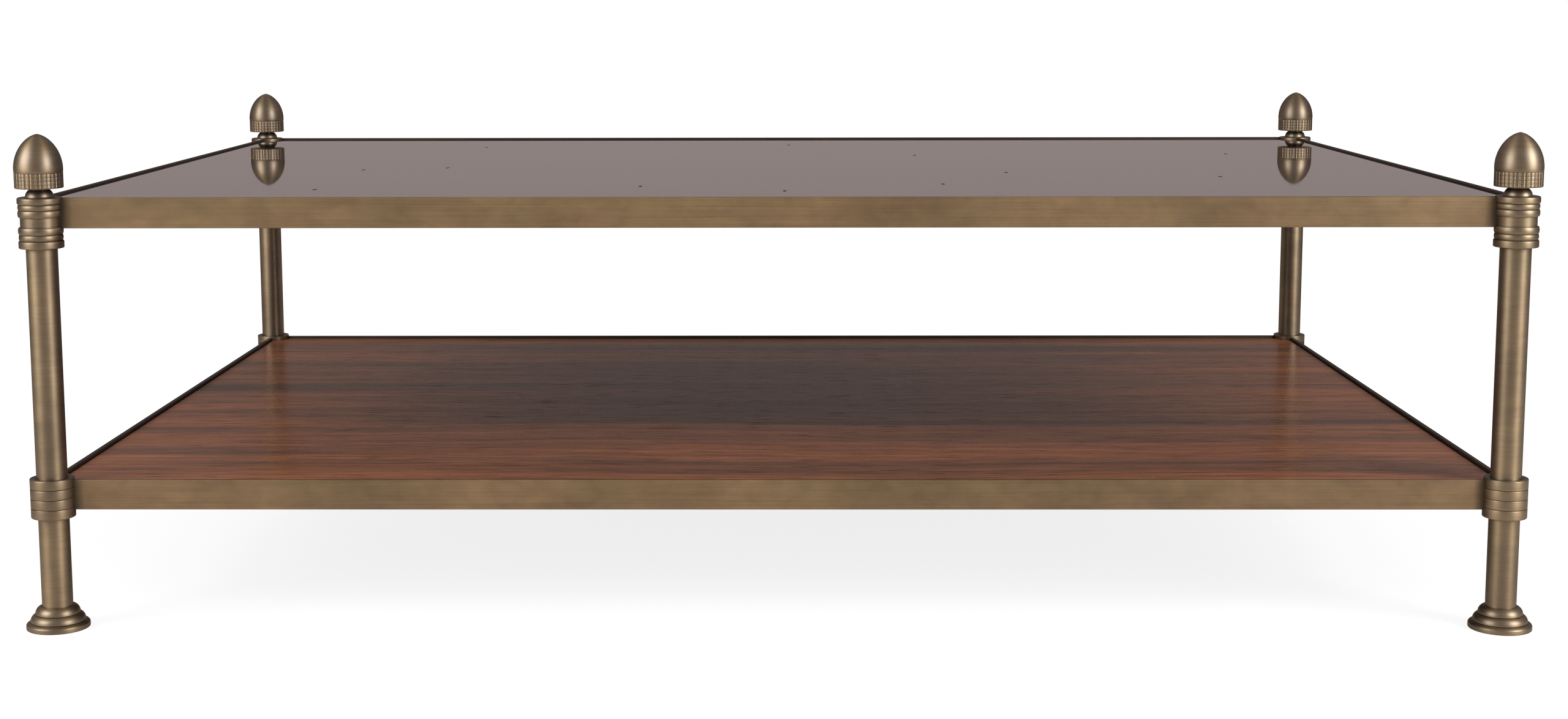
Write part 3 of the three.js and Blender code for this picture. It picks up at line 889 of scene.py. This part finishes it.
def ground_glass(name):
    """The ground edge of the mirror glass."""
    look = bpy.context.scene.coffee_table.mirror
    material, graph, place = new_material(name)
    grit = graph.noise(place, (400, 400, 400), detail=2.0)
    inputs = {
        "Base Color": graph.shaded(solid(look.edge), grit, (0.2, 0.7), (0.8, 1.0)),
        "Roughness": 0.38,
        "IOR": 1.52,
        "Normal": graph.bump(grit, 0.2, 0.1 * MM),
    }
    return finished(material, graph, inputs)


# The dark stripe of the veneer, part dark heartwood and part painted shadow of the top: where it
# begins, how soft and how ragged that edge is, where it is darkest, where it has faded into the
# figure, and how far it reaches along the board.
HEART_SHADOW_FRONT = -139 * MM
HEART_SHADOW_EDGE = 16 * MM
HEART_SHADOW_RAGGED = 20 * MM
HEART_SHADOW_DARKEST = HEART_SHADOW_FRONT + 40 * MM
HEART_SHADOW_BACK = 190 * MM
HEART_SHADOW_FULL = 120 * MM
HEART_SHADOW_END = 520 * MM
# Grain of the veneer, in grains a metre along each axis, and how far the figure sways.
SWAY = (1.6, 5, 1)
SWAY_REACH = 30 * MM
FIGURE = (0.55, 15, 1)
FIGURE_SHIFT = (3.1, 0.7, 0)
STREAKS = (2.2, 48, 1)
STREAK_SHIFT = (5.3, 1.1, 0)
FIBRES = (10, 320, 1)
PORES = (24, 620, 1)


def heart_and_shadow_stripe(graph, place, depth, streaks):
    """How dark the stripe of heartwood and painted shadow of the top is at a point, from 0 to 1."""
    ragged = graph.ranged(streaks, 0.3, 0.7, -HEART_SHADOW_RAGGED, HEART_SHADOW_RAGGED)
    begun = graph.ranged(graph.math("ADD", depth, ragged), HEART_SHADOW_FRONT, HEART_SHADOW_FRONT + HEART_SHADOW_EDGE)
    fading = graph.ranged(depth, HEART_SHADOW_BACK, HEART_SHADOW_DARKEST, 0.1, 0.85)
    sideways = graph.math("ABSOLUTE", graph.along(place, "X"))
    ending = graph.ranged(sideways, HEART_SHADOW_END, HEART_SHADOW_FULL)
    stripe = graph.math("MULTIPLY", graph.math("MULTIPLY", begun, fading), ending)
    return graph.math("MULTIPLY", stripe, graph.ranged(streaks, 0.35, 0.65, 1.0, 0.62))


def rosewood_veneer(name):
    """Glossy red-brown veneer with its figure along X."""
    look = bpy.context.scene.coffee_table.veneer
    material, graph, place = new_material(name)
    sway = graph.ranged(graph.noise(place, SWAY, detail=1.5), 0.0, 1.0, -SWAY_REACH, SWAY_REACH)
    offset = graph.add("ShaderNodeCombineXYZ", {"Y": sway}).outputs["Vector"]
    swayed = graph.vector("ADD", place, offset)
    figure = graph.noise(swayed, FIGURE, FIGURE_SHIFT)
    streaks = graph.noise(swayed, STREAKS, STREAK_SHIFT, detail=4.0, roughness=0.7)
    fibres = graph.noise(swayed, FIBRES, detail=4.0, roughness=0.75)
    pores = graph.ranged(graph.noise(swayed, PORES, detail=2.0, roughness=0.5), 0.60, 0.67)
    tones = (look.dark, look.brown, look.red, look.brown, look.dark)
    tone = graph.ramp(figure, list(zip((0.30, 0.42, 0.55, 0.68, 0.78), tones)))
    heart_and_shadow = heart_and_shadow_stripe(graph, place, graph.along(swayed, "Y"), streaks)
    # Dark heartwood and painted shadow of the top darken the veneer in this stripe.
    tone = graph.mix(heart_and_shadow, tone, solid(look.dark))
    tone = graph.shaded(tone, streaks, (0.35, 0.68), (0.65, 1.0))
    tone = graph.shaded(tone, fibres, (0.34, 0.45), (0.6, 1.0))
    inputs = {
        "Base Color": graph.mix(graph.math("MULTIPLY", pores, 0.75), tone, solid(look.core)),
        "Roughness": graph.ranged(pores, 0.0, 1.0, look.roughness, look.roughness + 0.3),
        "IOR": 1.45,
        "Normal": graph.bump(fibres, 0.3, 0.3 * MM),
    }
    return finished(material, graph, inputs)


def stained_board(name):
    """Dark-stained wood of the boards' edges and undersides."""
    look = bpy.context.scene.coffee_table.veneer
    material, graph, place = new_material(name)
    fibres = graph.noise(place, (8, 260, 260), detail=4.0, roughness=0.6)
    inputs = {
        "Base Color": graph.mix(
            graph.ranged(fibres, 0.3, 0.75), solid(look.core), solid(look.dark)
        ),
        "Roughness": 0.6,
        "Normal": graph.bump(fibres, 0.2, 0.3 * MM),
    }
    return finished(material, graph, inputs)


BLACK_PLASTIC = (0.012, 0.011, 0.010)
SCUFFED_PLASTIC = (0.05, 0.047, 0.043)
DULL_ZINC = (0.28, 0.28, 0.29)
BRIGHT_ZINC = (0.45, 0.45, 0.46)


def glide_plastic(name):
    """Black plastic of the glide pads, lightly scuffed."""
    material, graph, place = new_material(name)
    scuffs = graph.noise(place, (160, 700, 160))
    inputs = {
        "Base Color": graph.ramp(scuffs, [(0.4, BLACK_PLASTIC), (0.8, SCUFFED_PLASTIC)]),
        "Roughness": 0.55,
        "Normal": graph.bump(scuffs, 0.15, 0.2 * MM),
    }
    return finished(material, graph, inputs)


def threaded_steel(name):
    """Zinc-plated steel of the tie rods, with a fine thread."""
    material, graph, place = new_material(name)
    winding = {"Vector": place, "Scale": 160.0, "Distortion": 0.0}
    thread = graph.add("ShaderNodeTexWave", winding, bands_direction="Z").outputs["Fac"]
    haze = graph.noise(place, (200, 200, 60))
    inputs = {
        "Base Color": graph.ramp(haze, [(0.3, DULL_ZINC), (0.8, BRIGHT_ZINC)]),
        "Metallic": 1.0,
        "Roughness": 0.35,
        "Normal": graph.bump(thread, 0.6, 0.5 * MM),
    }
    return finished(material, graph, inputs)


FINISHES = {
    "brushed_brass_round": (brushed_brass, "ROUND"),
    "brushed_brass_x": (brushed_brass, "X"),
    "brushed_brass_x_aged": (brushed_brass, "X", True),
    "brushed_brass_y": (brushed_brass, "Y"),
    "brushed_brass_y_aged": (brushed_brass, "Y", True),
    "silvered_bronze_glass": (bronze_mirror,),
    "ground_glass_edge": (ground_glass,),
    "rosewood_veneer": (rosewood_veneer,),
    "stained_edge": (stained_board,),
    "stained_backing": (stained_board,),
    "scuffed_plastic": (glide_plastic,),
    "threaded_steel": (threaded_steel,),
}


def finish(name):
    """A material by its name, made the first time that it is asked for."""
    make, *details = FINISHES[name]
    return bpy.data.materials.get(name) or make(name, *details)


# ---- Operators


class COFFEETABLE_OT_feet(bpy.types.Operator):
    """Turn the four stepped feet and their glide pads"""

    bl_idname = "coffee_table.feet"
    bl_label = "Feet"

    def execute(self, context):
        turn_on_every_leg("foot", foot_outline)
        turn_on_every_leg(
            "foot_pad", pad_outline, look="scuffed_plastic", slot_name="glide_plastic"
        )
        return {"FINISHED"}


class COFFEETABLE_OT_tubes(bpy.types.Operator):
    """Make the leg tubes"""

    bl_idname = "coffee_table.tubes"
    bl_label = "Tubes"

    def execute(self, context):
        turn_on_every_leg("lower_tube", tube_outline)
        turn_on_every_leg("middle_tube", tube_outline)
        return {"FINISHED"}


class COFFEETABLE_OT_collars(bpy.types.Operator):
    """Turn the banded lower collars and the ribbed upper collars"""

    bl_idname = "coffee_table.collars"
    bl_label = "Collars"

    def execute(self, context):
        turn_on_every_leg("lower_collar", lower_collar_outline)
        turn_on_every_leg("upper_collar", upper_collar_outline)
        return {"FINISHED"}


class COFFEETABLE_OT_finials(bpy.types.Operator):
    """Turn the necks, the fluted cups and the acorns"""

    bl_idname = "coffee_table.finials"
    bl_label = "Finials"

    def execute(self, context):
        sizes = context.scene.coffee_table.turning
        sides = sizes.flutes * sizes.flute_steps
        finial = "{corner}_finial"
        turn_on_every_leg("neck", neck_outline, cut=shade_neck)
        turn_on_every_leg("acorn_cup", cup_outline, finial, cut=cut_flutes, sides=sides)
        turn_on_every_leg("acorn", dome_outline, finial)
        return {"FINISHED"}


class COFFEETABLE_OT_tie_rods(bpy.types.Operator):
    """Finish the tie rods inside the legs"""

    bl_idname = "coffee_table.tie_rods"
    bl_label = "Tie rods"

    def execute(self, context):
        for corner in CORNERS:
            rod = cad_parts[f"{corner}_tie_rod"]
            rod.data.materials.clear()
            rod.data.materials.append(finish("threaded_steel"))
        return {"FINISHED"}


class COFFEETABLE_OT_rails(bpy.types.Operator):
    """Make the eight rails of brass angle"""

    bl_idname = "coffee_table.rails"
    bl_label = "Rails"

    def execute(self, context):
        sizes = context.scene.coffee_table.rails
        corner = leg_axis("back_right")
        reach = {"x": 2 * corner.x, "y": 2 * corner.y}
        for tier in TIERS:
            cope = node_radius(f"front_left_{tier}_collar") - sizes.let_in
            for side, turns in RAIL_TURNS.items():
                node = f"{tier}_{side}_rail"
                low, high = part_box(node)
                width = min(high.x - low.x, high.y - low.y)
                along, across = ("x", "y") if turns % 2 == 0 else ("y", "x")
                mesh = rail_mesh(reach[along], high.z - low.z, width, cope, sizes)
                # Inner faces and tops get painted shade, a darker copy of the brass. The front rails'
                # tops keep the front finish.
                for face in mesh.faces:
                    top = face.normal.z if side != "front" else 0.0
                    face.material_index = 1 if max(face.normal.y, top) > 0.5 else 0
                turn = Matrix.Rotation(turns * math.pi / 2, 4, "Z")
                middle = Matrix.Translation(turn @ Vector((0, -reach[across] / 2, low.z)))
                bmesh.ops.transform(mesh, matrix=middle @ turn, verts=mesh.verts)
                name = f"brushed_brass_{along}"
                finishes = [finish(name), finish(f"{name}_aged")]
                finish_piece(f"{node}_angle", mesh, "frame", node, finishes)
        return {"FINISHED"}


class COFFEETABLE_OT_shelf(bpy.types.Operator):
    """Make the veneered shelf board"""

    bl_idname = "coffee_table.shelf"
    bl_label = "Shelf"

    def execute(self, context):
        sizes = context.scene.coffee_table.panels
        low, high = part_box("shelf_board")
        radius = node_radius("front_left_lower_collar") + sizes.corner_gap
        outline = []
        for corner in CORNERS:
            axis = leg_axis(corner)
            inset = axis.x - (high.x if axis.x > 0 else low.x)
            start = math.asin(abs(inset) / radius)
            out_x, out_y = math.copysign(1, axis.x), math.copysign(1, axis.y)
            arc = []
            for step in range(sizes.corner_steps + 1):
                angle = start + (math.pi / 2 - 2 * start) * step / sizes.corner_steps
                x = axis.x - out_x * radius * math.sin(angle)
                y = axis.y - out_y * radius * math.cos(angle)
                arc.append((x, y))
            outline += arc if out_x * out_y > 0 else arc[::-1]
        mesh = board_mesh(outline, low.z, high.z, sizes.board_edge)
        for face in mesh.faces:
            face.material_index = 0 if face.normal.z > 0.5 else 1
        finishes = [finish("rosewood_veneer"), finish("stained_edge")]
        finish_piece(
            "shelf_veneered", mesh, "shelf_panel", "shelf_board", finishes
        )
        return {"FINISHED"}


class COFFEETABLE_OT_top(bpy.types.Operator):
    """Make the bronze mirror and its backing board"""

    bl_idname = "coffee_table.top"
    bl_label = "Top"

    def execute(self, context):
        sizes = context.scene.coffee_table.panels
        clear = node_radius("front_left_acorn") + sizes.corner_gap
        low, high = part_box("mirror_backing_board")
        clip = math.sqrt(2) * clear - 2 * (low.x - leg_axis("front_left").x)
        outline = [
            (low.x + clip, low.y),
            (high.x - clip, low.y),
            (high.x, low.y + clip),
            (high.x, high.y - clip),
            (high.x - clip, high.y),
            (low.x + clip, high.y),
            (low.x, high.y - clip),
            (low.x, low.y + clip),
        ]
        board = board_mesh(outline, low.z, high.z, sizes.board_edge)
        stain = [finish("stained_backing")]
        finish_piece(
            "backing_stained", board, "top_panel", "mirror_backing_board", stain
        )
        low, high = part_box("mirror_glass")
        glass = board_mesh(outline, low.z, high.z, sizes.glass_edge)
        for face in glass.faces:
            face.material_index = 0 if face.normal.z > 0.9 else 1
        finishes = [finish("silvered_bronze_glass"), finish("ground_glass_edge")]
        finish_piece(
            "mirror_bevelled", glass, "top_panel", "mirror_glass", finishes
        )
        return {"FINISHED"}


# What metal and glass see of the backdrop, by the rise of a ray: 0 is level, 1 straight up.
WALL_STOPS = (
    (0.0, "dark_band"),
    (0.045, "wall"),
    (0.09, "wall"),
    (0.13, "dark_band"),
    (0.23, "dark_band"),
    (0.30, "upper_wall"),
)
FLOOR_SIDES = 64


class COFFEETABLE_OT_studio(bpy.types.Operator):
    """Set up the floor, the backdrop, the lamps and the camera"""

    bl_idname = "coffee_table.studio"
    bl_label = "Studio"

    def make_floor(self, settings):
        """A pale floor that keeps the table's shadow and fades into the backdrop."""
        material, graph, place = new_material("studio_floor")
        distance = graph.vector("LENGTH", place, output="Value")
        fade = graph.ranged(distance, settings.fade_from, settings.fade_to)
        tone = graph.mix(fade, solid(settings.floor), solid(settings.far_floor))
        bare = graph.add("ShaderNodeBsdfDiffuse", {"Color": tone}).outputs[0]
        pale = graph.add("ShaderNodeBsdfDiffuse", {"Color": solid(settings.shown_floor)}).outputs[0]
        glow = graph.add("ShaderNodeEmission", {"Strength": settings.floor_glow}).outputs[0]
        lifted = graph.add("ShaderNodeAddShader", {0: pale, 1: glow}).outputs[0]
        white = graph.add("ShaderNodeEmission", {"Strength": 1.0}).outputs[0]
        seen = graph.add("ShaderNodeLightPath").outputs["Is Camera Ray"]
        shown = graph.either(seen, bare, graph.either(fade, lifted, white))
        # The floor is clear from below.
        below = graph.add("ShaderNodeNewGeometry").outputs["Backfacing"]
        clear = graph.add("ShaderNodeBsdfTransparent").outputs[0]
        graph.surface(graph.either(below, shown, clear))
        mesh = bmesh.new()
        bmesh.ops.create_circle(
            mesh, cap_ends=True, segments=FLOOR_SIDES, radius=settings.floor_radius
        )
        floor = add_mesh("floor", mesh, [material])

    def make_backdrop(self, settings):
        """White to the camera. Metal and glass see a wall with dark bands."""
        world = bpy.data.worlds.new("studio")
        world.use_nodes = True
        bpy.context.scene.world = world
        graph = Graph(world.node_tree)
        path = graph.add("ShaderNodeLightPath").outputs
        direction = graph.add("ShaderNodeTexCoord").outputs["Generated"]
        stops = [(rise, getattr(settings, tone)) for rise, tone in WALL_STOPS]
        wall = graph.ramp(graph.along(direction, "Z"), stops)
        ambient = solid(settings.ambient)
        soft = graph.add("ShaderNodeBackground", {"Color": ambient}).outputs[0]
        reflected = graph.add("ShaderNodeBackground", {"Color": wall}).outputs[0]
        white = graph.add("ShaderNodeBackground", {"Color": solid(1.0), "Strength": 1.0}).outputs[0]
        shiny = graph.math("MAXIMUM", path["Is Glossy Ray"], path["Is Transmission Ray"])
        lit = graph.either(shiny, soft, reflected)
        shown = graph.either(path["Is Camera Ray"], lit, white)
        graph.surface(shown, "ShaderNodeOutputWorld")

    def make_lamp(self, name, place, width, energy, settings):
        """A tall lamp aimed at the middle of the table."""
        lamp = bpy.data.lights.new(name, "AREA")
        lamp.shape = "RECTANGLE"
        lamp.size, lamp.size_y = width, settings.lamp_height
        lamp.energy = energy
        holder = add_object(name, lamp)
        holder.location = place
        aim = Vector((0, 0, frame_high.z / 2)) - Vector(place)
        holder.rotation_euler = aim.to_track_quat("-Z", "Y").to_euler()
        holder.visible_camera = False
        # The lamp's own image doesn't show in the mirror glass.
        shaded = bpy.data.collections.new(f"{name}_shaded")
        shaded.objects.link(bpy.data.objects["mirror_bevelled"])
        holder.light_linking.receiver_collection = shaded
        shaded.collection_objects[0].light_linking.link_state = "EXCLUDE"

    def make_camera(self, settings):
        data = bpy.data.cameras.new("camera")
        data.sensor_fit = "HORIZONTAL"
        data.lens = settings.focal * data.sensor_width
        data.shift_x = settings.shift_x
        data.shift_y = settings.shift_y
        camera = add_object("camera", data)
        turn = Matrix.Rotation(-settings.camera_yaw, 4, "Z")
        tilt = Matrix.Rotation(math.pi / 2 - settings.camera_pitch, 4, "X")
        roll = Matrix.Rotation(settings.camera_roll, 4, "Z")
        camera.matrix_world = Matrix.Translation(settings.camera_place) @ turn @ tilt @ roll
        bpy.context.scene.camera = camera

    def execute(self, context):
        settings = context.scene.coffee_table.studio
        context.scene.view_settings.view_transform = "Standard"
        self.make_floor(settings)
        self.make_backdrop(settings)
        for side in ("left", "right"):
            place, width, energy = (
                getattr(settings, f"{side}_{key}") for key in ("place", "size", "power")
            )
            self.make_lamp(f"{side}_lamp", place, width, energy, settings)
        self.make_camera(settings)
        return {"FINISHED"}


BUILD_STEPS = (
    COFFEETABLE_OT_feet,
    COFFEETABLE_OT_tubes,
    COFFEETABLE_OT_collars,
    COFFEETABLE_OT_finials,
    COFFEETABLE_OT_tie_rods,
    COFFEETABLE_OT_rails,
    COFFEETABLE_OT_shelf,
    COFFEETABLE_OT_top,
    COFFEETABLE_OT_studio,
)


class COFFEETABLE_PT_builder(bpy.types.Panel):
    """Lists the steps that build the table"""

    bl_label = "Coffee Table"
    bl_space_type = "VIEW_3D"
    bl_region_type = "UI"
    bl_category = "Coffee Table"

    def draw(self, context):
        for step in BUILD_STEPS:
            self.layout.operator(step.bl_idname)


CLASSES = (
    COFFEETABLE_PG_turning,
    COFFEETABLE_PG_rails,
    COFFEETABLE_PG_panels,
    COFFEETABLE_PG_brass,
    COFFEETABLE_PG_mirror,
    COFFEETABLE_PG_veneer,
    COFFEETABLE_PG_studio,
    COFFEETABLE_PG_settings,
    *BUILD_STEPS,
    COFFEETABLE_PT_builder,
)


def register():
    for cls in CLASSES:
        bpy.utils.register_class(cls)
    bpy.types.Scene.coffee_table = bpy.props.PointerProperty(type=COFFEETABLE_PG_settings)


def unregister():
    del bpy.types.Scene.coffee_table
    for cls in reversed(CLASSES):
        bpy.utils.unregister_class(cls)


def main():
    register()
    bpy.ops.coffee_table.feet()
    bpy.ops.coffee_table.tubes()
    bpy.ops.coffee_table.collars()
    bpy.ops.coffee_table.finials()
    bpy.ops.coffee_table.tie_rods()
    bpy.ops.coffee_table.rails()
    bpy.ops.coffee_table.shelf()
    bpy.ops.coffee_table.top()
    bpy.ops.coffee_table.studio()


if __name__ == "__main__":
    main()
